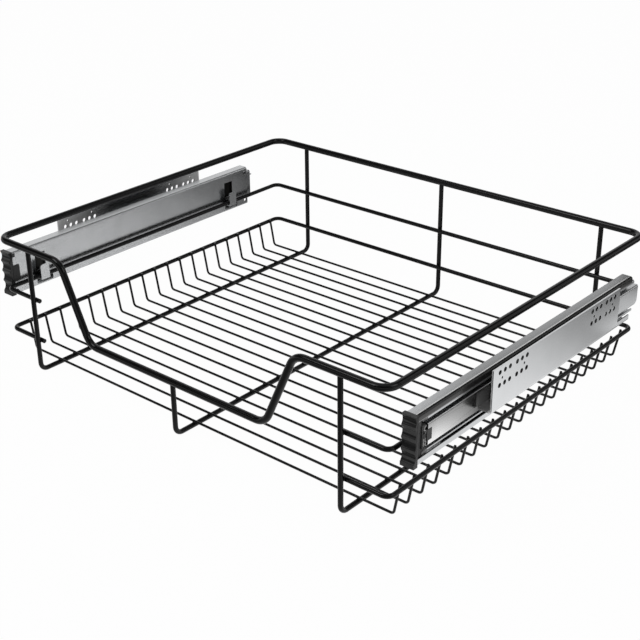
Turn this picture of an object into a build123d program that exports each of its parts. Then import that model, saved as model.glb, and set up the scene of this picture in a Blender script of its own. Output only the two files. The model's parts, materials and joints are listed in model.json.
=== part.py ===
from build123d import *
import os

# Pull-out wire basket for a kitchen base cabinet, on a pair of ball-bearing slides.
# Millimetres. +X is right seen from the front, +Y runs into the cabinet, +Z is up.
# The origin is on the floor plane under the middle of the basket.

os.makedirs("parts", exist_ok=True)

# ------------------------------------------------------------------ driving dimensions: basket

top_wire_d = 7.0
rail_wire_d = 4.6
rib_wire_d = 5.0
floor_wire_d = 2.5
weld_sink = 0.1                 # how deep two crossed wires are pressed into each other

basket_width = 496.0            # between the centre lines of the top frame's sides
basket_depth = 419.0            # between the centre lines of the top frame's front and back
top_height = 137.0              # centre line of the top frame above the underside of the ribs
middle_height = 80.2
lower_height = 35.3
top_corner_r = 14.0
rail_corner_r = 7.5

scoop_height = 58.2             # centre line of the dipped front
scoop_low_half_width = 116.0
scoop_top_half_width = 152.0
scoop_bend_r = 17.0

rib_offset = 201.0              # outer ribs from the middle rib
rib_bend_r = 8.0
rail_end_overhang = 4.3         # rail ends past the middle of the outer front legs

floor_wire_count = 20
first_floor_wire = 24.1         # from the centre line of the front
last_floor_wire = 21.5          # from the centre line of the back
floor_bend_inset = 9.2          # bend from the centre line of the side rail
floor_bend_r = 4.0
floor_tip_rise = 2.6            # wire tips above the centre line of the lower rail

# ------------------------------------------------------------------ driving dimensions: slides

cabinet_inside_width = 564.0    # 600 mm cabinet with 18 mm sides
slide_length = 350.0
slide_height = 47.0
slide_thickness = 12.7
slide_sheet = 1.2
slide_bend_r = 2.2              # outside of the bends of the drawer member
inner_bend_r = 1.7              # outside of the bends of the two smaller members
slide_centre_height = 90.5
slide_front = 17.0              # drawer member's front end behind the front of the basket
slide_side_gap = 3.5            # between the side rail wire and the drawer member's web
lip_height = 6.2                # drawer member's lips, over the flange
middle_lag = 8.0                # middle member behind the drawer member when closed
cabinet_lag = 14.0              # cabinet member behind the drawer member when closed
run_gap = 0.3                   # running clearance between pieces that slide past each other
snap_gap = 0.1                  # around plastic pieces pushed into steel ones
cut_margin = 1.0                # how far a cutting solid runs past the faces it cuts

ball_d = 4.76
balls_per_row = 8
ball_pitch = 18.0
ball_pocket_gap = 0.07
cage_sheet = 0.6
cage_strip = 0.8
cage_outer_ligament = 0.45      # cage metal left outside the pockets of the outer balls
cage_ligament_shift = 0.13      # inner balls' pockets, towards the cage's web
cage_end_margin = 6.0
middle_edge_drop = 1.8          # turned edge of the middle member's flanges
middle_lip_gap = 0.4            # middle member's turned edge behind the drawer member's lips
cabinet_flange_depth = 7.1

bumper_length = 7.5             # plastic buffer on the front of the middle member
bumper_width = 5.6
bumper_nose_r = 1.3

# ------------------------------------------------------------------ driving dimensions: hooks

hook_width = 11.0
hook_lip_height = 16.8
hook_offset = 1.8               # middle of the hook ahead of the middle of its window
hook_wire_gap = 0.05
window_width = 13.0
window_height = 17.6
window_above_hook = 7.8         # window's lower edge above the hook's seat
front_window_inset = 28.0       # from the front end of the drawer member
rear_window_inset = 39.0        # from its rear end to the window's front edge
boot_shaft_width = 9.5
boot_shaft_height = 10.5
boot_toe_length = 11.5
boot_toe_height = 6.0
boot_corner_r = 1.6
boot_base_inset = 2.2           # lower edge of the boot-shaped cut above the web's lower edge

# ------------------------------------------------------------------ driving dimensions: plates

plate_length = 213.0
plate_front = 99.0              # behind the front of the basket
plate_sheet = 1.5
plate_top_height = 125.2
plate_bottom_height = 84.5
bracket_web_top_height = 100.0
bracket_chamfer = 2.6
plate_bend_r = 2.5

screw_hole_d = 4.5
pilot_hole_d = 2.4
hole_row_spacing = 12.1
hole_top_row_drop = 5.1         # upper row below the plate's top edge
hole_end_inset = 9.8            # first column from the plate's end
hole_pitch = 7.7
hole_group_step = 10.8          # between the third and fourth columns

rivet_count = 3
rivet_d = 4.0
rivet_head_d = 7.5
rivet_head_t = 1.3
rivet_dome_r = 0.8
rivet_end_inset = 22.0

# ------------------------------------------------------------------ driving dimensions: plastic

cap_front_t = 4.6               # over the ridges of the front face
cap_flute_count = 4
cap_flute_depth = 1.7
cap_flute_share = 0.86          # of each ridge-to-ridge step that is hollowed out
cap_root = 1.0                  # how far small tabs reach back into the cap's front
cap_overhang = 0.5              # cap's face past the drawer member's outline
cap_foot_height = 4.0
cap_foot_step = 0.9             # foot in front of the ridges
cap_plug_depth = 6.0
cap_tab_length = 7.0
cap_tab_height = 17.0
cap_tab_t = 1.0
cap_bump_length = 3.0
cap_bump_height = 3.6
cap_bump_height_above_centre = 20.2

latch_nose_length = 4.6         # nose that sits in the cabinet member's notch
latch_nose_height = 9.8
latch_wall = 1.6
latch_arm_t = 1.4
latch_arm_drop = 0.6            # arms behind the latch's open face
latch_pocket_depth = 6.4
latch_nose_t = 2.7
notch_gap = 0.4

rear_hole_d = 4.0               # round holes near the rear corners of the drawer member
cabinet_rear_chamfer = 4.0

# ------------------------------------------------------------------ places worked out from them

half_width = basket_width / 2
front_y = -basket_depth / 2
back_y = basket_depth / 2
rib_z = rib_wire_d / 2
rail_inset = rib_wire_d / 2 + rail_wire_d / 2 - weld_sink
floor_z = rib_wire_d + floor_wire_d / 2 - weld_sink

web_x = half_width + rail_wire_d / 2 + slide_side_gap      # basket side of the drawer member
outer_x = web_x + slide_thickness                          # cabinet side of the slide
plate_x = cabinet_inside_width / 2                         # face screwed to the cabinet
half_slide = slide_height / 2

drawer_front = front_y + slide_front
drawer_back = drawer_front + slide_length
middle_front = drawer_front + middle_lag + bumper_length
middle_back = drawer_back + middle_lag
cabinet_front = drawer_front + cabinet_lag
cabinet_back = drawer_back + cabinet_lag
travel = slide_length

ball_r = ball_d / 2
flange_inside = half_slide - slide_sheet
outer_ball_v = flange_inside - run_gap - ball_r
middle_half = outer_ball_v - ball_r - run_gap
inner_ball_v = middle_half - slide_sheet - run_gap - ball_r
cabinet_half = inner_ball_v - ball_r - run_gap

outer_cage_x = web_x + slide_sheet + run_gap
middle_x = outer_cage_x + cage_sheet + run_gap
inner_cage_x = middle_x + slide_sheet + run_gap
lip_inside_x = outer_x - slide_sheet
middle_outer_x = lip_inside_x - middle_lip_gap
inner_edge_x = middle_outer_x - slide_sheet
inner_cage_outer_x = inner_edge_x - run_gap
outer_cage_outer_x = lip_inside_x - run_gap
outer_ball_x = outer_cage_outer_x - cage_outer_ligament - ball_pocket_gap - ball_r
inner_ball_x = (inner_cage_x + cage_sheet + inner_cage_outer_x - cage_ligament_shift) / 2

# At full extension the members overlap by less than half, and each cage stays inside that.
inner_cage_y = (cabinet_front + middle_back - travel / 2) / 2 + travel / 4
outer_cage_y = (middle_front - travel / 2 + drawer_back - travel) / 2 + travel * 3 / 4
cage_length = (balls_per_row - 1) * ball_pitch + 2 * cage_end_margin

hook_seat_z = middle_height - rail_wire_d / 2 - hook_wire_gap
hook_lip_x = half_width - rail_wire_d / 2 - hook_wire_gap - slide_sheet
front_window_y = drawer_front + front_window_inset
rear_window_y = drawer_back - rear_window_inset
window_z = hook_seat_z + window_above_hook
boot_z = slide_centre_height - half_slide + boot_base_inset

plate_y = front_y + plate_front + plate_length / 2
hole_rows = [plate_top_height - hole_top_row_drop, plate_top_height - hole_top_row_drop - hole_row_spacing]
hole_columns = [hole_end_inset + hole_pitch * step for step in range(3)]
hole_columns += [hole_columns[2] + hole_group_step + hole_pitch * step for step in range(3)]
pilot_columns = [(hole_columns[0] + hole_columns[1]) / 2, (hole_columns[4] + hole_columns[5]) / 2]


# ------------------------------------------------------------------ shared helpers

def save(name, shape):
    """Write one sub-part under its node name."""
    shape.label = name
    export_step(shape, f"parts/{name}.step")


def block(x0, x1, y0, y1, z0, z1):
    """A box between two corners."""
    centre = Location(((x0 + x1) / 2, (y0 + y1) / 2, (z0 + z1) / 2))
    return centre * Box(abs(x1 - x0), abs(y1 - y0), abs(z1 - z0))


def bent_wire(points, bends, diameter, closed=False):
    """Round wire bent along straight runs, with one bend radius for each corner."""
    path = FilletPolyline(*points, radius=bends, close=closed)
    section = Plane(origin=path @ 0, z_dir=path % 0) * Circle(diameter / 2)
    return sweep(section, path=path)


def along_y(section, y0, y1):
    """Extrude a section drawn as (X, Z) between two places on Y."""
    return extrude(Plane(origin=(0, y0, 0), x_dir=(1, 0, 0), z_dir=(0, -1, 0)) * section, -(y1 - y0))


def hollow_rectangle(x0, x1, half_height, sheet, bend_r):
    """Closed rolled section between x0 and x1, centred on the slide's height."""
    centre = Location(((x0 + x1) / 2, slide_centre_height))
    outside = RectangleRounded(x1 - x0, 2 * half_height, bend_r)
    inside = RectangleRounded(x1 - x0 - 2 * sheet, 2 * (half_height - sheet), bend_r - sheet)
    return centre * (outside - inside)


def gap_in_section(x0, x1, half_height):
    """Rectangle that opens one side of a closed section."""
    return Location(((x0 + x1) / 2, slide_centre_height)) * Rectangle(x1 - x0, 2 * half_height)


def on_both_sides(name, shape):
    """Save the right-hand piece and its mirror image."""
    save(f"right_{name}", shape)
    save(f"left_{name}", mirror(shape, about=Plane.YZ))


# ------------------------------------------------------------------ basket

def make_top_frame():
    """Closed heavy wire with the dipped front."""
    corners = [
        (half_width, back_y, top_height),
        (-half_width, back_y, top_height),
        (-half_width, front_y, top_height),
        (-scoop_top_half_width, front_y, top_height),
        (-scoop_low_half_width, front_y, scoop_height),
        (scoop_low_half_width, front_y, scoop_height),
        (scoop_top_half_width, front_y, top_height),
        (half_width, front_y, top_height),
    ]
    bends = [top_corner_r] * 3 + [scoop_bend_r] * 4 + [top_corner_r]
    return bent_wire(corners, bends, top_wire_d, closed=True)


def make_rail(height):
    """Rail wire inside the ribs, open between the two outer front legs."""
    rail_front = front_y + rail_inset
    rail_back = back_y - rail_inset
    end_x = rib_offset - rail_end_overhang
    points = [
        (-end_x, rail_front, height),
        (-half_width, rail_front, height),
        (-half_width, rail_back, height),
        (half_width, rail_back, height),
        (half_width, rail_front, height),
        (end_x, rail_front, height),
    ]
    return bent_wire(points, [rail_corner_r] * 4, rail_wire_d)


def make_rib(x, front_top, top_frame):
    """U-shaped wire under the basket. Its ends are coped to the top frame they are welded to."""
    points = [
        (x, front_y, front_top),
        (x, front_y, rib_z),
        (x, back_y, rib_z),
        (x, back_y, top_height),
    ]
    rib = bent_wire(points, [rib_bend_r] * 2, rib_wire_d) - top_frame
    return max(rib.solids(), key=lambda solid: solid.volume)


def make_floor_wire(y):
    """Thin wire across the ribs, with both ends bent up inside the lower rail."""
    weld_x = half_width - rail_wire_d / 2 - floor_wire_d / 2 + weld_sink
    bend_x = half_width - floor_bend_inset
    lean = (weld_x - bend_x) / (lower_height - floor_z)
    tip_z = lower_height + floor_tip_rise
    tip_x = weld_x + lean * floor_tip_rise
    points = [(-tip_x, y, tip_z), (-bend_x, y, floor_z), (bend_x, y, floor_z), (tip_x, y, tip_z)]
    return bent_wire(points, [floor_bend_r] * 2, floor_wire_d)


# ------------------------------------------------------------------ slides, right-hand side

def make_boot_cut(y):
    """Boot-shaped cut under the hook, as a solid through the web."""
    shaft_y = y + boot_toe_length
    outline = Polyline(
        (y, boot_z),
        (shaft_y + boot_shaft_width, boot_z),
        (shaft_y + boot_shaft_width, boot_z + boot_shaft_height),
        (shaft_y, boot_z + boot_shaft_height),
        (shaft_y, boot_z + boot_toe_height),
        (y, boot_z + boot_toe_height),
        close=True,
    )
    face = fillet(make_face(outline).vertices(), boot_corner_r)
    plane = Plane(origin=(web_x, 0, 0), x_dir=(0, 1, 0), z_dir=(1, 0, 0))
    return extrude(plane * face, slide_sheet, both=True)


def make_hook(y):
    """Hook bent out of the web that carries the middle rail."""
    seat = block(hook_lip_x, web_x + slide_sheet, y, y + hook_width, hook_seat_z - slide_sheet, hook_seat_z)
    lip = block(
        hook_lip_x,
        hook_lip_x + slide_sheet,
        y,
        y + hook_width,
        hook_seat_z - slide_sheet,
        hook_seat_z - slide_sheet + hook_lip_height,
    )
    lip_edges = lip.edges().filter_by(Axis.X).group_by(Axis.Z)[-1]
    return seat + fillet(lip_edges, hook_width / 4)


def make_drawer_member():
    """Large channel on the basket's side, open towards the cabinet."""
    section = hollow_rectangle(web_x, outer_x, half_slide, slide_sheet, slide_bend_r)
    section -= gap_in_section(lip_inside_x, outer_x, half_slide - lip_height)
    member = along_y(section, drawer_front, drawer_back)
    for window_y in (front_window_y, rear_window_y):
        hook_y = window_y + (window_width - hook_width) / 2 - hook_offset
        window = block(web_x - cut_margin, web_x + slide_sheet + cut_margin, window_y,
                       window_y + window_width, window_z, window_z + window_height)
        member = member - window - make_boot_cut(window_y)
        member = member + make_hook(hook_y)
    hole_z = slide_centre_height + half_slide - slide_bend_r - rear_hole_d
    for z in (hole_z, 2 * slide_centre_height - hole_z):
        centre = Location((web_x, drawer_back - rear_hole_d, z), (0, 90, 0))
        member -= centre * Cylinder(rear_hole_d / 2, 4 * slide_sheet)
    return member


def make_middle_member():
    """Middle channel between the two rows of balls."""
    section = hollow_rectangle(middle_x, middle_outer_x, middle_half, slide_sheet, inner_bend_r)
    opening = middle_half - slide_sheet - middle_edge_drop
    section -= gap_in_section(inner_edge_x, middle_outer_x, opening)
    return along_y(section, middle_front, middle_back)


def make_cabinet_member():
    """Small channel that stays on the cabinet, open towards the basket."""
    inner_x = outer_x - cabinet_flange_depth
    section = hollow_rectangle(inner_x - inner_bend_r, outer_x, cabinet_half, slide_sheet, inner_bend_r)
    section -= gap_in_section(inner_x - inner_bend_r, inner_x, cabinet_half)
    member = along_y(section, cabinet_front, cabinet_back)
    notch_half = latch_nose_height / 2 + notch_gap
    member -= block(lip_inside_x - cut_margin, outer_x + cut_margin, cabinet_front - cut_margin,
                    cabinet_front + latch_nose_length + notch_gap,
                    slide_centre_height - notch_half, slide_centre_height + notch_half)
    corner = Polyline(
        (cabinet_back, slide_centre_height - cabinet_half),
        (cabinet_back, slide_centre_height - cabinet_half + cabinet_rear_chamfer),
        (cabinet_back - cabinet_rear_chamfer, slide_centre_height - cabinet_half),
        close=True,
    )
    plane = Plane(origin=(inner_x - cut_margin, 0, 0), x_dir=(0, 1, 0), z_dir=(1, 0, 0))
    member -= extrude(plane * make_face(corner), cabinet_flange_depth + 2 * cut_margin)
    return member - rivet_shanks()


def rivet_places():
    """Centres of the rivets along Y."""
    first = plate_y - plate_length / 2 + rivet_end_inset
    step = (plate_length - 2 * rivet_end_inset) / (rivet_count - 1)
    return [first + step * index for index in range(rivet_count)]


def rivet_cylinders(diameter, x0, x1):
    """One coaxial cylinder at each rivet, between two places on X."""
    middle_x_of_both = (x0 + x1) / 2
    turned = [Location((middle_x_of_both, y, slide_centre_height), (0, 90, 0)) for y in rivet_places()]
    return [place * Cylinder(diameter / 2, x1 - x0) for place in turned]


def rivet_shanks():
    """Shanks through the cabinet member and the bracket."""
    return Compound(children=rivet_cylinders(rivet_d, lip_inside_x, outer_x + plate_sheet))


def make_rivets():
    """Separate rivets, each with a shank and two heads."""
    shanks = rivet_cylinders(rivet_d, lip_inside_x, outer_x + plate_sheet)
    outer_heads = rivet_cylinders(rivet_head_d, outer_x + plate_sheet, outer_x + plate_sheet + rivet_head_t)
    inner_heads = rivet_cylinders(rivet_head_d, lip_inside_x - rivet_head_t, lip_inside_x)
    rivets = []
    for shank, outer_head, inner_head in zip(shanks, outer_heads, inner_heads):
        dome = fillet(outer_head.edges().filter_by(GeomType.CIRCLE).group_by(Axis.X)[-1], rivet_dome_r)
        rivets.append(shank + dome + inner_head)
    return Compound(children=rivets)


def make_mounting_plate():
    """Bracket bent from one sheet: web on the slide, floor, and the plate with the screw holes."""
    y0 = plate_y - plate_length / 2
    y1 = plate_y + plate_length / 2
    outline = Polyline(
        (outer_x, bracket_web_top_height),
        (outer_x, plate_bottom_height),
        (plate_x, plate_bottom_height),
        (plate_x, plate_top_height),
        (plate_x - plate_sheet, plate_top_height),
        (plate_x - plate_sheet, plate_bottom_height + plate_sheet),
        (outer_x + plate_sheet, plate_bottom_height + plate_sheet),
        (outer_x + plate_sheet, bracket_web_top_height),
        close=True,
    )
    section = make_face(outline)
    section = fillet(section.vertices().group_by(Axis.Y)[1], plate_bend_r - plate_sheet)
    section = fillet(section.vertices().group_by(Axis.Y)[0], plate_bend_r)
    plate = along_y(section, y0, y1)
    cutter = Polyline(
        (y0, plate_bottom_height - cut_margin),
        (y0, plate_bottom_height + bracket_chamfer),
        (y0 + bracket_chamfer, plate_bottom_height),
        (y0 + bracket_chamfer, plate_bottom_height - cut_margin),
        close=True,
    )
    plane = Plane(origin=(outer_x - cut_margin, 0, 0), x_dir=(0, 1, 0), z_dir=(1, 0, 0))
    plate -= extrude(plane * make_face(cutter), cut_margin + plate_sheet)
    holes = []
    for column in hole_columns:
        for y in (y0 + column, y1 - column):
            holes += [(y, z, screw_hole_d) for z in hole_rows]
    for column in pilot_columns:
        for y in (y0 + column, y1 - column):
            holes.append((y, sum(hole_rows) / 2, pilot_hole_d))
    for y, z, diameter in holes:
        plate -= Location((plate_x, y, z), (0, 90, 0)) * Cylinder(diameter / 2, 3 * plate_sheet)
    return plate - rivet_shanks()


def make_cage(x, outer_edge_x, ball_x, ball_v, centre_y):
    """Sheet cage: a web with two pierced strips that space the balls."""
    y0 = centre_y - cage_length / 2
    y1 = centre_y + cage_length / 2
    reach = ball_v + cage_strip / 2
    cage = block(x, x + cage_sheet, y0, y1, slide_centre_height - reach, slide_centre_height + reach)
    for side in (-1, 1):
        z = slide_centre_height + side * ball_v
        cage += block(x, outer_edge_x, y0, y1, z - cage_strip / 2, z + cage_strip / 2)
    pocket_r = ball_r + ball_pocket_gap
    for y in ball_places(centre_y):
        cage -= Location((ball_x, y, slide_centre_height)) * Cylinder(pocket_r, 2 * (reach + cut_margin))
    return cage


def ball_places(centre_y):
    """Centres of one row of balls along Y."""
    first = centre_y - (balls_per_row - 1) * ball_pitch / 2
    return [first + ball_pitch * index for index in range(balls_per_row)]


def make_balls(ball_x, ball_v, centre_y):
    """The two rows of balls of one cage, as separate solids."""
    balls = []
    for side in (-1, 1):
        z = slide_centre_height + side * ball_v
        balls += [Location((ball_x, y, z)) * Sphere(ball_r) for y in ball_places(centre_y)]
    return Compound(children=balls)


def make_bumper():
    """Two plastic buffers pushed onto the front ends of the middle member's flanges."""
    buffers = []
    y0 = middle_front - bumper_length
    for side in (-1, 1):
        z_out = slide_centre_height + side * (middle_half - snap_gap)
        z_in = slide_centre_height + side * (middle_half - slide_sheet - middle_edge_drop)
        x1 = middle_outer_x
        buffer = block(x1 - bumper_width, x1, y0, middle_front, min(z_in, z_out), max(z_in, z_out))
        nose = buffer.edges().filter_by(Axis.X).group_by(Axis.Y)[0]
        buffers.append(fillet(nose, bumper_nose_r))
    return Compound(children=buffers)


# ------------------------------------------------------------------ plastic pieces, right-hand side

def make_end_cap():
    """Fluted buffer on the front end of the drawer member, with its plug and retaining tabs."""
    x0 = web_x - cap_overhang
    x1 = outer_x + cap_overhang
    bottom = slide_centre_height - half_slide - cap_overhang
    top = slide_centre_height + half_slide + cap_overhang
    face_y = drawer_front - cap_front_t
    flute_pitch = (top - bottom - cap_foot_height) / cap_flute_count
    chord = flute_pitch * cap_flute_share
    flute_r = (chord ** 2 / 4 + cap_flute_depth ** 2) / (2 * cap_flute_depth)
    cap = block(x0, x1, face_y, drawer_front, bottom, top)
    for index in range(cap_flute_count):
        z = bottom + cap_foot_height + flute_pitch * (index + 0.5)
        axis_y = face_y + cap_flute_depth - flute_r
        cap -= Location(((x0 + x1) / 2, axis_y, z), (0, 90, 0)) * Cylinder(flute_r, x1 - x0 + 2 * cut_margin)
    cap += block(x0, x1, face_y - cap_foot_step, drawer_front, bottom, bottom + cap_foot_height)
    plug_x0 = web_x + slide_sheet + snap_gap
    plug_x1 = lip_inside_x - snap_gap
    plug = RectangleRounded(plug_x1 - plug_x0, 2 * (flange_inside - snap_gap), slide_bend_r - slide_sheet)
    plug = Location(((plug_x0 + plug_x1) / 2, slide_centre_height)) * plug
    cap += along_y(plug, drawer_front - cap_root, drawer_front + cap_plug_depth)
    cap += block(web_x - cap_tab_t, web_x, drawer_front - cap_root, drawer_front + cap_tab_length,
                 slide_centre_height - cap_tab_height / 2, slide_centre_height + cap_tab_height / 2)
    for side in (-1, 1):
        z = slide_centre_height + side * cap_bump_height_above_centre
        cap += block(web_x - cap_tab_t, web_x, drawer_front - cap_root, drawer_front + cap_bump_length,
                     z - cap_bump_height / 2, z + cap_bump_height / 2)
    return cap


def make_front_latch():
    """Plastic catch behind the end cap that grips the cabinet member's front end when closed."""
    y0 = drawer_front + cap_plug_depth
    y1 = cabinet_front - notch_gap
    x0 = inner_cage_x
    x1 = outer_x
    half = cabinet_half
    body = block(x0, x1, y0, y1, slide_centre_height - half, slide_centre_height + half)
    pocket = block(x1 - latch_pocket_depth, x1 + cut_margin, y0 + latch_wall, y1 - latch_wall,
                   slide_centre_height - half + latch_wall, slide_centre_height + half - latch_wall)
    latch = body - pocket
    for side in (-1, 1):
        z = slide_centre_height + side * half / 3
        latch += block(x0, x1 - latch_arm_drop, y0, y1, z - latch_arm_t / 2, z + latch_arm_t / 2)
    nose_half = latch_nose_height / 2
    latch += block(x1 - latch_nose_t, x1, y1 - latch_wall, cabinet_front + latch_nose_length,
                   slide_centre_height - nose_half, slide_centre_height + nose_half)
    return latch


# ------------------------------------------------------------------ assembly

top_frame = make_top_frame()
save("top_frame_wire", top_frame)
save("middle_rail_wire", make_rail(middle_height))
save("lower_rail_wire", make_rail(lower_height))

save("left_rib_wire", make_rib(-rib_offset, top_height, top_frame))
save("middle_rib_wire", make_rib(0, scoop_height, top_frame))
save("right_rib_wire", make_rib(rib_offset, top_height, top_frame))

floor_start = front_y + first_floor_wire
floor_pitch = (basket_depth - first_floor_wire - last_floor_wire) / (floor_wire_count - 1)
for index in range(floor_wire_count):
    save(f"floor_wire_{index + 1:02d}", make_floor_wire(floor_start + floor_pitch * index))

on_both_sides("drawer_member", make_drawer_member())
on_both_sides("middle_member", make_middle_member())
on_both_sides("middle_bumper", make_bumper())
on_both_sides("cabinet_member", make_cabinet_member())
on_both_sides("mounting_plate", make_mounting_plate())
on_both_sides("bracket_rivets", make_rivets())
on_both_sides("outer_ball_cage",
              make_cage(outer_cage_x, outer_cage_outer_x, outer_ball_x, outer_ball_v, outer_cage_y))
on_both_sides("outer_balls", make_balls(outer_ball_x, outer_ball_v, outer_cage_y))
on_both_sides("inner_ball_cage",
              make_cage(inner_cage_x, inner_cage_outer_x, inner_ball_x, inner_ball_v, inner_cage_y))
on_both_sides("inner_balls", make_balls(inner_ball_x, inner_ball_v, inner_cage_y))
on_both_sides("end_cap", make_end_cap())
on_both_sides("front_latch", make_front_latch())
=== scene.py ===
import json
import math
import random

import bmesh
import bpy
from mathutils import Matrix, Vector


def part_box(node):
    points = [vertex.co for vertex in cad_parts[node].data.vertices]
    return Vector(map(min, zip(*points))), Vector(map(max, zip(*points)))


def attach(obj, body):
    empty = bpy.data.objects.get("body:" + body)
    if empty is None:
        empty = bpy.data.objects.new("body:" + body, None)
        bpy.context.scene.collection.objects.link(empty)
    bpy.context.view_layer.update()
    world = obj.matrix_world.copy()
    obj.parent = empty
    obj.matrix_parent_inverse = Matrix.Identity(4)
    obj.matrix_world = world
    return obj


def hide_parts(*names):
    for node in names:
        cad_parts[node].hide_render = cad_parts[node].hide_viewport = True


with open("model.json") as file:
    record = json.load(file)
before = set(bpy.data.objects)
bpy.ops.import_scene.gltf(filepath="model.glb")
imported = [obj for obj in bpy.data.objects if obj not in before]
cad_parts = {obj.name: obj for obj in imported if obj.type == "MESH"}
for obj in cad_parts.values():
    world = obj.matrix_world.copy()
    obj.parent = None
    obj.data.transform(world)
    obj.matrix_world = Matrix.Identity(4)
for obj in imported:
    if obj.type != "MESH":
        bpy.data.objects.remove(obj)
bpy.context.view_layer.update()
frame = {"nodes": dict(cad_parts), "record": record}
MM = 0.001
drawer_low, drawer_high = (Vector(corner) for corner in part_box("right_drawer_member"))
plate_low, plate_high = (Vector(corner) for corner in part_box("right_mounting_plate"))
scene = bpy.context.scene
scene.view_settings.view_transform = "Standard"

# ------------------------------------------------------------------ camera, as solved from the photograph

CAMERA_PLACE = Vector((0.7628, -0.8834, 0.6088))
CAMERA_FORWARD = Vector((-0.58867, 0.68082, -0.43582))
CAMERA_RIGHT = Vector((0.75910, 0.65092, -0.00849))
SENSOR_WIDTH = 36.0
FOCAL_LENGTH = 70.18
CLIP_START, CLIP_END = 0.05, 20


def make_camera():
    """Camera at the photograph's angle and distance."""
    data = bpy.data.cameras.new("camera")
    data.sensor_width = SENSOR_WIDTH
    data.lens = FOCAL_LENGTH
    data.clip_start = CLIP_START
    data.clip_end = CLIP_END
    camera = bpy.data.objects.new("camera", data)
    scene.collection.objects.link(camera)
    back = -CAMERA_FORWARD.normalized()
    right = (CAMERA_RIGHT - CAMERA_RIGHT.dot(back) * back).normalized()
    turned = Matrix((right, back.cross(right), back)).transposed().to_4x4()
    camera.matrix_world = Matrix.Translation(CAMERA_PLACE) @ turned
    scene.camera = camera


# ------------------------------------------------------------------ node trees

NOISE_MIDDLE = (0.3, 0.7)             # the part of a noise's range that is spread over its effect


class Nodes:
    """Short names for building one node tree."""

    def __init__(self, tree):
        self.tree = tree

    def node(self, kind, **settings):
        """New node, with some of its properties set."""
        made = self.tree.nodes.new(kind)
        for key, value in settings.items():
            setattr(made, key, value)
        return made

    def link(self, a, b):
        """Join an output to an input."""
        self.tree.links.new(a, b)

    def combine(self, operation, *values):
        """Arithmetic on numbers and outputs."""
        made = self.node("ShaderNodeMath", operation=operation)
        for slot, value in zip(made.inputs, values):
            if isinstance(value, (int, float)):
                slot.default_value = value
            else:
                self.link(value, slot)
        return made.outputs[0]

    def product(self, mask, *others):
        """Mask that is 1 where all of the masks are 1."""
        for other in others:
            mask = self.combine("MULTIPLY", mask, other)
        return mask

    def remap(self, value, start, end, low=0.0, high=1.0, **settings):
        """Goes from low at the start to high at the end, and stays there."""
        made = self.node("ShaderNodeMapRange", **settings)
        for name, number in zip(("From Min", "From Max", "To Min", "To Max"), (start, end, low, high)):
            made.inputs[name].default_value = number
        self.link(value, made.inputs["Value"])
        return made.outputs["Result"]

    def mix(self, mask, below, above):
        """Goes from one colour to another with the mask. Each is three numbers or an output."""
        made = self.node("ShaderNodeMix", data_type="RGBA")
        self.link(mask, made.inputs["Factor"])
        for name, colour in (("A", below), ("B", above)):
            if isinstance(colour, tuple):
                made.inputs[name].default_value = (*colour, 1)
            else:
                self.link(colour, made.inputs[name])
        return made.outputs["Result"]


class Shader(Nodes):
    """One material, built on the principled shader."""

    def __init__(self, name, **values):
        self.material = bpy.data.materials.new(name)
        self.material.use_nodes = True
        super().__init__(self.material.node_tree)
        self.principled = self.tree.nodes["Principled BSDF"]
        for key, value in values.items():
            self.principled.inputs[key.replace("_", " ")].default_value = value

    def feed(self, name, value):
        """Link an output to one of the principled shader's inputs."""
        self.link(value, self.principled.inputs[name])

    def noise(self, scale, detail=4.0, stretch=(1, 1, 1)):
        """Noise of so many lumps to the metre, on the object's own coordinates."""
        mapping = self.node("ShaderNodeMapping")
        mapping.inputs["Scale"].default_value = stretch
        self.link(self.node("ShaderNodeTexCoord").outputs["Object"], mapping.inputs["Vector"])
        made = self.node("ShaderNodeTexNoise")
        made.inputs["Scale"].default_value = scale
        made.inputs["Detail"].default_value = detail
        self.link(mapping.outputs["Vector"], made.inputs["Vector"])
        return made.outputs["Fac"]

    def rough(self, noise, low, high):
        """Roughness between two values, after a noise."""
        self.feed("Roughness", self.remap(noise, *NOISE_MIDDLE, low, high))

    def bump(self, noise, strength, distance):
        """Fine relief, after a noise."""
        made = self.node("ShaderNodeBump")
        made.inputs["Strength"].default_value = strength
        made.inputs["Distance"].default_value = distance
        self.link(noise, made.inputs["Height"])
        self.feed("Normal", made.outputs["Normal"])

    def paint_crevice_shade(self, colour, reach, openness, dark):
        """Painted shade: darken a colour in holes, slots and folds narrower than the reach."""
        crevice = self.node("ShaderNodeAmbientOcclusion", samples=8)
        crevice.inputs["Distance"].default_value = reach
        return self.mix(self.remap(crevice.outputs["AO"], *openness), dark, colour)

    def coordinate(self, axis):
        """Place along one axis, in metres."""
        split = self.node("ShaderNodeSeparateXYZ")
        self.link(self.node("ShaderNodeTexCoord").outputs["Object"], split.inputs["Vector"])
        return split.outputs[axis]

    def distance(self, axis, middle=0.0):
        """Distance along one axis from a middle."""
        return self.combine("ABSOLUTE", self.combine("SUBTRACT", self.coordinate(axis), middle))

    def fade(self, place, edge, span):
        """Mask that starts and is full at two places, given in millimetres from an edge."""
        start, full = span
        return self.remap(place, edge + start * MM, edge + full * MM)

    def mark(self, colour, *masks):
        """Lay a colour over the base colour where all of the masks are 1."""
        base = self.principled.inputs["Base Color"].links[0].from_socket
        self.feed("Base Color", self.mix(self.product(*masks), base, colour))


def grey(value, blue=1.0):
    """Grey, with its blue share scaled."""
    return (value, value, value * blue)


# ------------------------------------------------------------------ paint and zinc

POWDER_DARK, POWDER_LIGHT = (0.002, 0.002, 0.0022), (0.0045, 0.0045, 0.0047)
POWDER_RELIEF = 0.1 * MM


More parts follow.
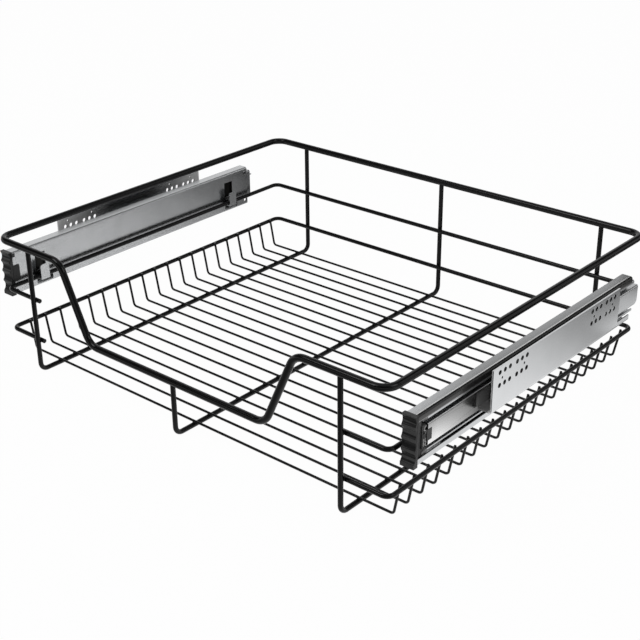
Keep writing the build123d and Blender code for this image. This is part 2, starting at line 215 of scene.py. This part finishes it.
def powder_coat():
    """Gloss black paint with a faint orange peel."""
    shader = Shader("powder_coat", IOR=1.31)
    shader.feed("Base Color", shader.mix(shader.noise(90), POWDER_DARK, POWDER_LIGHT))
    shader.rough(shader.noise(220), 0.17, 0.25)
    shader.bump(shader.noise(1100, 2.0), 0.05, POWDER_RELIEF)
    return shader.material


DRAWN_ALONG_Y = (1.0, 0.02, 1.0)      # stretches the grain along the rolled strip
GRAIN_ROUGHNESS = 0.012               # how far the grain moves the roughness up and down
GRAIN_RELIEF = 0.02 * MM
CREVICE = 4 * MM                      # holes and slots up to this wide get painted shade
CREVICE_OPENNESS = (0.56, 0.87)       # where a crevice is darkest, and where it ends
# the colour of the painted shade in crevices
CREVICE_SHADE = grey(0.015)


def zinc_sheet(name, dark, light, roughness):
    """Zinc plate over rolled strip: fine drawing lines, a cloudy sheen and painted shade in the crevices."""
    shader = Shader(name, Metallic=1.0, Roughness=roughness)
    grain = shader.noise(900, 3.0, DRAWN_ALONG_Y)
    clouds = shader.mix(shader.noise(35, 3.0), dark, light)
    # painted shade in holes, slots and folds, after ambient occlusion
    shader.feed("Base Color", shader.paint_crevice_shade(clouds, CREVICE, CREVICE_OPENNESS, CREVICE_SHADE))
    shader.rough(grain, roughness - GRAIN_ROUGHNESS, roughness + GRAIN_ROUGHNESS)
    shader.bump(grain, 0.006, GRAIN_RELIEF)
    return shader


# Painted light and shade on the metal: a grey, and spans in millimetres from an edge, from where a mark
# starts to where it is full. LIP spans go from the lips' outer face, TOP spans from the drawer member's top.
LIP_FACE = (-0.6, -0.2)
LIP_SHADE_GREY, LIP_TOP = 0.25, (-9.0, -8.5)                        # painted shade over the whole upper lip
LIP_BAND_SHADE, LIP_BAND_TOP, LIP_BAND_BEND = 0.07, (-5.9, -5.3), (-0.6, -1.6)     # a darker band of painted shade on the lip; it stops short of the bend
WEB_LIGHT, WEB_MIDDLE, WEB_DARK = 0.92, 0.38, 0.08            # cabinet member's web: painted light below, painted shade above and inward
WEB_EDGE = 1.0 * MM
WEB_BACK = (30, 10)                                           # from the plate's front end
WEB_DARK_FRONT, WEB_DARK_BACK = 12 * MM, 4 * MM               # behind the member's and the plate's front
# painted shade on the right flange's top, full from 90 mm behind the drawer member's front
FLANGE_SHADE_COLOUR, FLANGE_TOP, FLANGE_SIDE = (0.36, 0.365, 0.37), (-0.9, -0.4), (-1.0, 0.0)
FLANGE_SHADE_SPAN = (0, 90)                                         # from the drawer member's front
HIGHLIGHT_GREY, HIGHLIGHT_LIP = 0.9, (-3.6, -3.2)                   # painted highlight: a light line along the flange
# painted shade on the right slide's outer top bend, beside the painted highlight
BEND_SHADE_GREY, EDGE_LIP, EDGE_TOP = 0.06, (-2.4, -2.0), (-4.0, -3.0)


def slide_zinc():
    """Drawer and cabinet members, with painted shade over the upper lips, a painted highlight line beside
    the right one, and painted light and shade on the cabinet member's web and the right flange.
    """
    shader = zinc_sheet("slide_zinc", (0.54, 0.55, 0.56), (0.66, 0.67, 0.68), 0.26)
    x, y, height, side = *(shader.coordinate(axis) for axis in "XYZ"), shader.distance("X")
    lip, top = drawer_high.x, drawer_high.z
    outside = shader.fade(side, lip, LIP_FACE)
    # painted shade over the upper lips
    shader.mark(grey(LIP_SHADE_GREY), outside, shader.fade(height, top, LIP_TOP))
    # a darker band of painted shade on the upper lips, short of the bend
    shader.mark(grey(LIP_BAND_SHADE), outside, shader.fade(height, top, LIP_BAND_TOP),
                shader.fade(height, top, LIP_BAND_BEND))
    low, high = (Vector(corner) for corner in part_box("right_cabinet_member"))
    web = shader.product(outside, shader.remap(height, low.z - WEB_EDGE, low.z),
                         shader.remap(height, high.z + WEB_EDGE, high.z),
                         shader.fade(y, plate_low.y, WEB_BACK))
    # cabinet member's web: painted light below, painted shade above and towards the plate
    shader.mark(grey(WEB_LIGHT), web)
    shader.mark(grey(WEB_MIDDLE), web, shader.remap(height, low.z + WEB_EDGE, high.z - WEB_EDGE))
    shader.mark(grey(WEB_DARK), web, shader.remap(y, low.y + WEB_DARK_FRONT, plate_low.y + WEB_DARK_BACK))
    on_top = shader.fade(height, top, FLANGE_TOP)
    # painted shade on the right flange's top, behind its front
    shader.mark(FLANGE_SHADE_COLOUR, on_top, shader.fade(x, drawer_low.x, FLANGE_SIDE),
                shader.fade(y, drawer_low.y, FLANGE_SHADE_SPAN))
    # painted highlight along the right flange's outer edge
    shader.mark(grey(HIGHLIGHT_GREY), on_top, shader.fade(x, lip, HIGHLIGHT_LIP))
    # painted shade on the right slide's outer top bend
    shader.mark(grey(BEND_SHADE_GREY), shader.fade(height, top, EDGE_TOP), shader.fade(x, lip, EDGE_LIP))
    return shader.material


WINDOWS = (drawer_low.y + 34.5 * MM, drawer_high.y - 32.5 * MM)     # middles of the two windows along Y
# painted shade on the middle member's web where it shows through the windows
WINDOW_SHADE_COLOUR = (0.02, 0.02, 0.019)
WINDOW_SHADE_FACE = (0.5, 0.1)               # from the middle member's inner face
WINDOW_SHADE_REACH = (18, 10)                # from a window's middle


def middle_zinc():
    """The middle channel: bright, with painted shade on the web behind the windows."""
    shader = zinc_sheet("middle_zinc", (0.5, 0.51, 0.52), (0.6, 0.61, 0.62), 0.3)
    web_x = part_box("right_middle_member")[0][0]
    inner_face = shader.fade(shader.distance("X"), web_x, WINDOW_SHADE_FACE)
    # painted shade on the web behind each window
    for window in WINDOWS:
        shader.mark(WINDOW_SHADE_COLOUR, inner_face, shader.fade(shader.distance("Y", window), 0.0, WINDOW_SHADE_REACH))
    return shader.material


PLATE_THICKNESS = 1.5 * MM
PLATE_MIDDLE = (plate_high.y + plate_low.y) / 2
PLATE_HALF = (plate_high.y - plate_low.y) / 2
INSIDE = (-0.9, -1.2)                 # from the plate's outer face: through its thickness
PAINTED_LIGHT_GREY, PAINTED_LIGHT_START, PAINTED_LIGHT_METALLIC = 0.95, 0.3, 0.1         # painted light: pale and less metallic inside, towards the ends
BRACKET_SHADE_GREY, DEEP = 0.3, (-3.0, -4.5)                           # painted shade on the bracket behind the plate
SHADED_GREY, SHADED_DROP = 0.03, 20 * MM                      # its upper part, up to below the plate's top
FOLD_SHADE_GREY, FOLD_END = 0.02, (-14, -22)                        # painted shade over its middle, from the plate's ends
# painted shade on the walls of the holes
HOLE_SHADE_GREY = 0.01
HOLES_LOW, HOLES_HIGH = plate_high.z - 22 * MM, plate_high.z - 1.5 * MM
HOLE_OUTER, HOLE_INNER = (-0.04, -0.1), (0.03, 0.09)          # from the outer and the inner face
HOLE_ROW_FADE, HOLE_END = 0.2 * MM, (-1.0, -1.5)


def plate_zinc():
    """The mounting plates: bright outside, painted light towards the ends inside, painted shade on the
    bracket behind, in the fold and the holes.
    """
    shader = zinc_sheet("plate_zinc", (0.66, 0.67, 0.68), (0.76, 0.77, 0.78), 0.22)
    side, along, height = shader.distance("X"), shader.distance("Y", PLATE_MIDDLE), shader.coordinate("Z")
    outer_face, inner_face = plate_high.x, plate_high.x - PLATE_THICKNESS
    # painted light: the inner face pale towards the ends
    painted_light = shader.product(shader.fade(side, outer_face, INSIDE),
                          shader.remap(along, PAINTED_LIGHT_START * PLATE_HALF, PLATE_HALF))
    deep = shader.fade(side, outer_face, DEEP)
    shader.mark(grey(PAINTED_LIGHT_GREY), painted_light)
    # painted shade on the bracket behind the plate, darkest in its upper part
    shader.mark(grey(BRACKET_SHADE_GREY), deep)
    shader.mark(grey(SHADED_GREY), deep, shader.remap(height, plate_low.z, plate_high.z - SHADED_DROP))
    # painted shade in the fold, away from the plate's ends
    shader.mark(grey(FOLD_SHADE_GREY), deep, shader.fade(along, PLATE_HALF, FOLD_END))
    # painted shade on the walls of the holes, in the rows
    walls = shader.product(shader.fade(side, outer_face, HOLE_OUTER),
                           shader.fade(side, inner_face, HOLE_INNER))
    rows = shader.product(shader.remap(height, HOLES_LOW, HOLES_LOW + HOLE_ROW_FADE),
                          shader.remap(height, HOLES_HIGH, HOLES_HIGH - HOLE_ROW_FADE))
    shader.mark(grey(HOLE_SHADE_GREY), walls, rows, shader.fade(along, PLATE_HALF, HOLE_END))
    # the painted light's area is made less metallic
    shader.feed("Metallic", shader.remap(painted_light, 0, 1, 1.0, PAINTED_LIGHT_METALLIC))
    return shader.material


# ------------------------------------------------------------------ plastic

PLASTIC_BLUE = 1.03
PLASTIC_RELIEF = 0.1 * MM
FLOW = (1.0, 1.0, 0.25)               # stretches the flow marks upwards
HIGHLIGHT_POINTINESS = (0.52, 0.58)            # pointiness of an edge that gets a painted highlight


def black_plastic(name, dark, light, edge):
    """Moulded nylon with flow marks, and a painted highlight along its edges."""
    shader = Shader(name, IOR=1.28)
    flow_marks = shader.noise(420, 3.0, FLOW)
    shader.feed("Base Color", shader.mix(flow_marks, grey(dark, PLASTIC_BLUE), grey(light, PLASTIC_BLUE)))
    pointiness = shader.node("ShaderNodeNewGeometry").outputs["Pointiness"]
    # painted highlight along edges and ridges
    shader.mark(grey(edge), shader.remap(pointiness, *HIGHLIGHT_POINTINESS))
    shader.rough(shader.noise(400), 0.36, 0.48)
    shader.bump(shader.noise(2600, 2.0), 0.15, PLASTIC_RELIEF)
    return shader.material


def grey_spring():
    """The latch's leaves, in unpigmented grey nylon, given a lighter grey than it has: in part a painted
    highlight for their shaded place.
    """
    shader = Shader("latch_leaf", IOR=1.45)
    shader.feed("Base Color", shader.mix(shader.noise(500), grey(0.3), (0.4, 0.4, 0.395)))
    shader.rough(shader.noise(700), 0.3, 0.42)
    return shader.material


# ------------------------------------------------------------------ studio

FLOOR_HALF = 6.0
FLOOR_DROP = 0.5 * MM
FLOOR_WHITE_SHARE = 0.975             # the rest of the floor takes light and shadow
FLOOR_GLOW = (                        # (Y, brightness in reflections): a bright band under the front
    (-0.6, 0.3), (-0.34, 0.3), (-0.16, 1.0), (0.02, 1.0), (0.36, 0.14), (0.8, 0.14),
)
REAR_CARD = ((0.325, 0.365), (0.25, 0.36))     # (X, Y) of a bright patch that the right slide's rear mirrors
REAR_CARD_FADE = 0.02


def floor_material():
    """Pale floor: white to the camera, with a faint shadow, and darker to the back in reflections."""
    shader = Shader("studio_floor", Base_Color=(*grey(0.88), 1), Roughness=0.9)
    path = shader.node("ShaderNodeLightPath").outputs
    seen = shader.combine("MAXIMUM", path["Is Camera Ray"], path["Is Transmission Ray"])
    share = shader.combine("MULTIPLY_ADD", seen, FLOOR_WHITE_SHARE, path["Is Glossy Ray"])
    near, far = FLOOR_GLOW[0][0], FLOOR_GLOW[-1][0]
    band = shader.node("ShaderNodeValToRGB")
    band.color_ramp.interpolation = "EASE"
    stops = band.color_ramp.elements
    while len(stops) < len(FLOOR_GLOW):
        stops.new(0.5)
    for stop, (y, _) in zip(stops, FLOOR_GLOW):
        stop.position = (y - near) / (far - near)
    for stop, (_, brightness) in zip(stops, FLOOR_GLOW):
        stop.color = (*grey(brightness), 1)
    shader.link(shader.remap(shader.coordinate("Y"), near, far), band.inputs["Fac"])
    sides = []
    for axis, (start, end) in zip("XY", REAR_CARD):
        place = shader.coordinate(axis)
        sides += [shader.remap(place, start - REAR_CARD_FADE, start),
                  shader.remap(place, end + REAR_CARD_FADE, end)]
    mirrored = shader.combine("MAXIMUM", band.outputs["Color"], shader.product(*sides))
    glow = shader.node("ShaderNodeEmission")
    shader.link(shader.combine("MAXIMUM", seen, mirrored), glow.inputs["Strength"])
    mix = shader.node("ShaderNodeMixShader")
    shader.link(share, mix.inputs["Fac"])
    shader.link(shader.principled.outputs["BSDF"], mix.inputs[1])
    shader.link(glow.outputs["Emission"], mix.inputs[2])
    output = [n for n in shader.tree.nodes if n.type == "OUTPUT_MATERIAL"][0]
    shader.link(mix.outputs["Shader"], output.inputs["Surface"])
    return shader.material


def make_floor():
    """Large flat floor, just below the object."""
    mesh = bpy.data.meshes.new("floor")
    corners = [(x * FLOOR_HALF, y * FLOOR_HALF, 0) for x, y in ((-1, -1), (1, -1), (1, 1), (-1, 1))]
    mesh.from_pydata(corners, [], [(0, 1, 2, 3)])
    mesh.materials.append(floor_material())
    made = bpy.data.objects.new("floor", mesh)
    made.location = (0, 0, -FLOOR_DROP)
    scene.collection.objects.link(made)


AMBIENT = 0.35
SKY_LOW, SKY_HIGH = 0.1, 0.34         # height on the unit sky where white fades to dark
SKY_DARK = 0.06
CARDS = (                             # (direction, cosine at its rim, cosine at its core, brightness)
    ((-0.62, 0.66, 0.43), 0.8, 0.96, 0.8),      # a wide card up behind the basket on the left
    ((0.5, 0.7, 0.5), 0.975, 0.99, 1.0),        # a narrow one on the right, for the long bright edges
    ((0.0, 0.0, 1.0), 0.75, 0.95, 0.6),         # a soft one overhead
)
SOFT = {"interpolation_type": "SMOOTHSTEP"}


def make_world():
    """White to the camera; in reflections white low down and dark above, with bright cards."""
    world = bpy.data.worlds.new("studio")
    scene.world = world
    world.use_nodes = True
    nodes = Nodes(world.node_tree)
    background = nodes.tree.nodes["Background"]
    background.inputs["Color"].default_value = (1, 1, 1, 1)
    direction = nodes.node("ShaderNodeTexCoord").outputs["Generated"]
    split = nodes.node("ShaderNodeSeparateXYZ")
    nodes.link(direction, split.inputs["Vector"])
    reflected = nodes.remap(split.outputs["Z"], SKY_LOW, SKY_HIGH, 1.0, SKY_DARK, **SOFT)
    for card_direction, rim, core, brightness in CARDS:
        towards_card = nodes.node("ShaderNodeVectorMath", operation="DOT_PRODUCT")
        nodes.link(direction, towards_card.inputs[0])
        towards_card.inputs[1].default_value = Vector(card_direction).normalized()
        card = nodes.remap(towards_card.outputs["Value"], rim, core, 0.0, brightness, **SOFT)
        reflected = nodes.combine("MAXIMUM", reflected, card)
    path = nodes.node("ShaderNodeLightPath").outputs
    seen = nodes.combine("MAXIMUM", path["Is Camera Ray"], path["Is Transmission Ray"])
    glossy = nodes.combine("MULTIPLY", path["Is Glossy Ray"], reflected)
    direct = nodes.combine("MAXIMUM", seen, path["Is Glossy Ray"])
    ambient = nodes.combine("MULTIPLY", nodes.combine("SUBTRACT", 1.0, direct), AMBIENT)
    total = nodes.combine("ADD", nodes.combine("MAXIMUM", seen, glossy), ambient)
    nodes.link(total, background.inputs["Strength"])


LAMP_SIZE = 1.0
LAMP_TARGET = Vector((0, 0, 0.05))
LAMPS = (                             # (name, place, power in watts)
    ("key", (-0.7, -1.2, 2.0), 15),
    ("fill", (1.7, 0.3, 1.6), 9),
)


def make_lamp(name, place, power):
    """Square area lamp that faces the basket."""
    data = bpy.data.lights.new(name, "AREA")
    data.shape = "RECTANGLE"
    data.size = data.size_y = LAMP_SIZE
    data.energy = power
    lamp = bpy.data.objects.new(name, data)
    lamp.location = place
    lamp.rotation_euler = (LAMP_TARGET - Vector(place)).to_track_quat("-Z", "Y").to_euler()
    scene.collection.objects.link(lamp)


# ------------------------------------------------------------------ mesh helpers

WELD_DISTANCE = 0.01 * MM
BEVEL_SEGMENTS = 2
BEVEL_ANGLE = math.radians(40)


def add_piece(name, mesh, body, material):
    """Link a finished mesh as a piece that rides on a body."""
    made = bpy.data.objects.new(name, mesh)
    mesh.materials.append(material)
    scene.collection.objects.link(made)
    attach(made, body)
    return made


def soften_edges(obj, width):
    """Narrow rounded edges on a hard piece, with even shading over its flats."""
    weld = obj.modifiers.new("weld", "WELD")
    weld.merge_threshold = WELD_DISTANCE
    bevel = obj.modifiers.new("edges", "BEVEL")
    bevel.width = width
    bevel.segments = BEVEL_SEGMENTS
    bevel.limit_method = "ANGLE"
    bevel.angle_limit = BEVEL_ANGLE
    obj.modifiers.new("shading", "WEIGHTED_NORMAL")


def add_box(mesh, low, high):
    """Box between two corners, in a bmesh."""
    for vertex in bmesh.ops.create_cube(mesh, size=1.0)["verts"]:
        for axis in range(3):
            vertex.co[axis] = low[axis] if vertex.co[axis] < 0 else high[axis]


def smooth_line(points, steps):
    """Points on a Catmull-Rom curve through the given ones."""
    ends = [points[0]] + list(points) + [points[-1]]
    line = []
    for before, a, b, after in zip(ends, ends[1:], ends[2:], ends[3:]):
        for step in range(steps):
            t = step / steps
            line.append(0.5 * (2 * a + (b - before) * t + (2 * before - 5 * a + 4 * b - after) * t ** 2
                               + (3 * a - before - 3 * b + after) * t ** 3))
    return line + [points[-1]]


def add_leaf(mesh, points, thickness, x0, x1, steps=6):
    """Springy leaf: a strip on edge that follows a curve drawn in (Y, Z), between two places on X."""
    line = smooth_line([Vector(point) for point in points], steps)
    rings = []
    for index, point in enumerate(line):
        ahead = line[min(index + 1, len(line) - 1)] - line[max(index - 1, 0)]
        across = Vector((-ahead.y, ahead.x)).normalized() * thickness / 2
        corners = [(x, *(point + side * across)) for x, side in ((x0, -1), (x0, 1), (x1, 1), (x1, -1))]
        rings.append([mesh.verts.new(corner) for corner in corners])
    for a, b in zip(rings, rings[1:]):
        for k in range(4):
            mesh.faces.new((a[k], a[(k + 1) % 4], b[(k + 1) % 4], b[k]))
    mesh.faces.new(rings[0][::-1])
    mesh.faces.new(rings[-1])


def finish_mesh(mesh, name):
    """Turn a bmesh into a mesh with outward normals and smooth faces."""
    bmesh.ops.recalc_face_normals(mesh, faces=mesh.faces)
    for face in mesh.faces:
        face.smooth = True
    data = bpy.data.meshes.new(name)
    mesh.to_mesh(data)
    mesh.free()
    return data


# ------------------------------------------------------------------ weld nuggets

NUGGET_RINGS, NUGGET_SIDES = 6, 10
NUGGET_UNEVEN = (0.88, 1.1)           # how far a lump's three sizes vary
NUGGET_RIPPLE, NUGGET_LOBES = 0.07, 3
NUGGET_SEED = 7
ON_RIB = (2.0 * MM, 1.9 * MM, 1.0 * MM)        # radii where a floor wire crosses a rib
ON_RAIL = (1.1 * MM, 1.8 * MM, 1.9 * MM)       # where its end meets the lower rail
ON_LEG = (2.3 * MM, 1.1 * MM, 2.1 * MM)        # where a rail crosses a rib's leg


def add_nugget(mesh, place, radii, chance):
    """Lump of fused wire under the paint, a little uneven."""
    uneven = [chance.uniform(*NUGGET_UNEVEN) for _ in range(3)]
    spun = chance.uniform(0, math.tau)
    made = bmesh.ops.create_uvsphere(mesh, u_segments=NUGGET_SIDES, v_segments=NUGGET_RINGS, radius=1.0)
    for vertex in made["verts"]:
        angle = NUGGET_LOBES * math.atan2(vertex.co.y, vertex.co.x) + spun
        ripple = 1 + NUGGET_RIPPLE * math.sin(angle)
        vertex.co = Vector(place) + Vector(c * r * u * ripple for c, r, u in zip(vertex.co, radii, uneven))


def middle_of(node):
    """Middle of a node's box."""
    low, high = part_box(node)
    return (Vector(low) + Vector(high)) / 2


def weld_nuggets(material):
    """One lump at each crossing of two wires."""
    chance = random.Random(NUGGET_SEED)
    mesh = bmesh.new()
    ribs = [middle_of(f"{side}_rib_wire").x for side in ("left", "middle", "right")]
    rib_low, rib_high = (Vector(corner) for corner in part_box("middle_rib_wire"))
    rib_width = rib_high.x - rib_low.x
    rail_low, rail_high = (Vector(corner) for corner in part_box("lower_rail_wire"))
    rail_width = rail_high.z - rail_low.z
    rail_x, rail_z = rail_high.x - rail_width, middle_of("lower_rail_wire").z
    for name in sorted(name for name in frame["nodes"] if name.startswith("floor_wire_")):
        low, high = (Vector(corner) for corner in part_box(name))
        y = (low.y + high.y) / 2
        for x in ribs:
            add_nugget(mesh, (x, y, rib_width), ON_RIB, chance)
        for x in (-rail_x, rail_x):
            add_nugget(mesh, (x, y, rail_z), ON_RAIL, chance)
    for rail in ("lower_rail_wire", "middle_rail_wire"):
        z = middle_of(rail).z
        for x in ribs:
            add_nugget(mesh, (x, rib_high.y - rib_width, z), ON_LEG, chance)
            if x:                     # the rails are open at the front, where the middle rib has its leg
                add_nugget(mesh, (x, rib_low.y + rib_width, z), ON_LEG, chance)
    add_piece("weld_nuggets", finish_mesh(mesh, "weld_nuggets"), "basket", material)


# ------------------------------------------------------------------ front latch

WALL = 1.1 * MM
LATCH_NOSE = 5.0 * MM                 # the CAD solid's nose, past its body
NOSE_HALF, NOSE_DEPTH = 4.9 * MM, 2.7 * MM
BLOCK_HALF = 2.3 * MM
END_DEPTH, SIDE_DEPTH, BLOCK_DEPTH, LEAF_DEPTH = 0.2 * MM, 1.4 * MM, 0.9 * MM, 0.7 * MM    # behind the face
BLOCK_START = 2.4 * WALL              # behind the body's front
LEAF_THICKNESS = 0.9 * MM
TRAY_EDGE, LEAF_EDGE = 0.22 * MM, 0.15 * MM
LEAVES = (                            # (Y, Z) in millimetres from the body's front, on its mid-height
    ((5.6, 2.0), (6.6, 3.6), (5.0, 5.0), (3.4, 6.0), (4.4, 7.8), (6.4, 9.2)),
    ((3.0, -2.0), (3.3, -4.4), (2.9, -7.0), (3.2, -9.0)),
    ((5.6, -2.0), (5.0, -4.4), (6.4, -6.4), (4.8, -8.0), (6.9, -9.5)),
)


def latch(side, material, leaf_material):
    """Tray with springy leaves, a block between them and the nose that enters the notch."""
    low, high = (Vector(corner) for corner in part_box(f"{side}_front_latch"))
    outward = 1 if side == "right" else -1
    back, face = (low.x, high.x) if outward > 0 else (high.x, low.x)
    middle = (low.z + high.z) / 2
    body_end = high.y - LATCH_NOSE
    depth = abs(face - back)
    floor = depth - WALL
    sides_y = (low.y + WALL, body_end - WALL)
    tray_boxes = (                    # depth behind the face, Y, Z
        ((floor, depth), (low.y, body_end), (low.z, high.z)),
        ((END_DEPTH, floor), (low.y, low.y + WALL), (low.z, high.z)),
        ((SIDE_DEPTH, floor), sides_y, (high.z - WALL, high.z)),
        ((SIDE_DEPTH, floor), sides_y, (low.z, low.z + WALL)),
        ((BLOCK_DEPTH, floor), (low.y + BLOCK_START, body_end), (middle - BLOCK_HALF, middle + BLOCK_HALF)),
        ((0.0, NOSE_DEPTH), (body_end - WALL, high.y), (middle - NOSE_HALF, middle + NOSE_HALF)),
    )
    mesh = bmesh.new()
    for depths, ys, zs in tray_boxes:
        xs = sorted(face - outward * value for value in depths)
        add_box(mesh, *zip(xs, ys, zs))
    tray = add_piece(f"{side}_latch_tray", finish_mesh(mesh, f"{side}_latch_tray"),
                     "basket", material)
    soften_edges(tray, TRAY_EDGE)
    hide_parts(f"{side}_front_latch")
    mesh = bmesh.new()
    for leaf in LEAVES:
        points = [(low.y + y * MM, middle + z * MM) for y, z in leaf]
        add_leaf(mesh, points, LEAF_THICKNESS, back + outward * WALL, face - outward * LEAF_DEPTH)
    leaves = add_piece(f"{side}_latch_leaves", finish_mesh(mesh, f"{side}_latch_leaves"),
                       "basket", leaf_material)
    soften_edges(leaves, LEAF_EDGE)


# ------------------------------------------------------------------ dressing the frame

def dress(node, material):
    """Put a material on one of the frame's nodes."""
    for item in frame["nodes"][node].material_slots:
        item.material = material


SLOT_MATERIAL = {
    "powder_coat": powder_coat(),
    "slide_steel": slide_zinc(),
    "plate_steel": plate_zinc(),
    "rivet_steel": zinc_sheet("rivet_zinc", (0.5, 0.5, 0.51), (0.6, 0.6, 0.61), 0.35).material,
    "cage_steel": zinc_sheet("cage_strip", (0.4, 0.4, 0.4), (0.5, 0.5, 0.49), 0.4).material,
    "ball_steel": zinc_sheet("ball_steel", (0.7, 0.7, 0.71), (0.76, 0.76, 0.77), 0.08).material,
    # its edge grey is a painted highlight
    "black_plastic": black_plastic("black_plastic", dark=0.0015, light=0.009, edge=0.06),
}
MIDDLE_ZINC = middle_zinc()
# the bumper's edges get a strong painted highlight
BUMPER_PLASTIC = black_plastic("bumper_plastic", dark=0.03, light=0.09, edge=0.4)
LEAF_PLASTIC = grey_spring()
EDGE_WIDTH = {
    "end_cap": 0.35 * MM,
    "middle_bumper": 0.3 * MM,
    "mounting_plate": 0.18 * MM,
    "cabinet_member": 0.12 * MM,
}

make_camera()
make_world()
make_floor()
for name, place, power in LAMPS:
    make_lamp(name, place, power)
for part in frame["record"]["subparts"]:
    dress(part["node"], SLOT_MATERIAL[part["material_slot"]])
weld_nuggets(SLOT_MATERIAL["powder_coat"])
for side in ("right", "left"):
    dress(f"{side}_middle_member", MIDDLE_ZINC)
    dress(f"{side}_middle_bumper", BUMPER_PLASTIC)
    latch(side, SLOT_MATERIAL["black_plastic"], LEAF_PLASTIC)
    for piece, width in EDGE_WIDTH.items():
        soften_edges(frame["nodes"][f"{side}_{piece}"], width)
